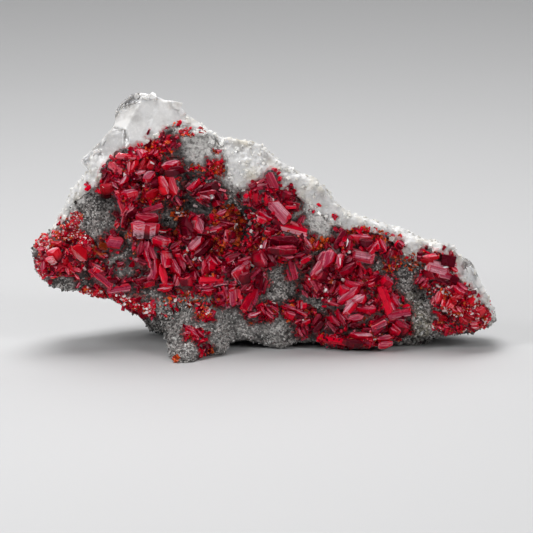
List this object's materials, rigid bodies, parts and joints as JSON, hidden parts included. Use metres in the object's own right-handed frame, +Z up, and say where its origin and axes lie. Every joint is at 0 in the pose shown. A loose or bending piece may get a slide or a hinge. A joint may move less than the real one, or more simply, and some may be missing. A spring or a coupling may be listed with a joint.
{
  "type": "realgar specimen",
  "caption": "Hand specimen of red realgar crystals on grey quartz rock with a white calcite layer behind it.",
  "frame": {"origin": "below the middle of the bounding box, on the plane that the specimen rests on", "axes": "+X to the right along the longest side, -Y out of the crystal face towards the viewer, +Z up"},
  "size_m": [0.1217, 0.0446, 0.0677],
  "materials": {
    "realgar": "resinous, half translucent",
    "calcite": "vitreous, translucent white",
    "matrix": "sugary, sparkling"
  },
  "bodies": {
    "root": {"matrix_rock": "matrix", "calcite_layer": "calcite", "realgar_left_end": "realgar", "realgar_left_block": "realgar", "realgar_left_bars": "realgar", "realgar_left_column": "realgar", "realgar_left_tail": "realgar", "realgar_top_fleck": "realgar", "realgar_upper_middle": "realgar", "realgar_centre": "realgar", "realgar_centre_right": "realgar", "realgar_right": "realgar", "realgar_star_left": "realgar", "realgar_star_right": "realgar", "realgar_lower_drop": "realgar", "realgar_foot_rosette": "realgar", "realgar_foot_bead": "realgar", "realgar_foot_druse": "realgar", "realgar_right_crystals": "realgar", "realgar_right_druse": "realgar"}
  },
  "joints": []
}
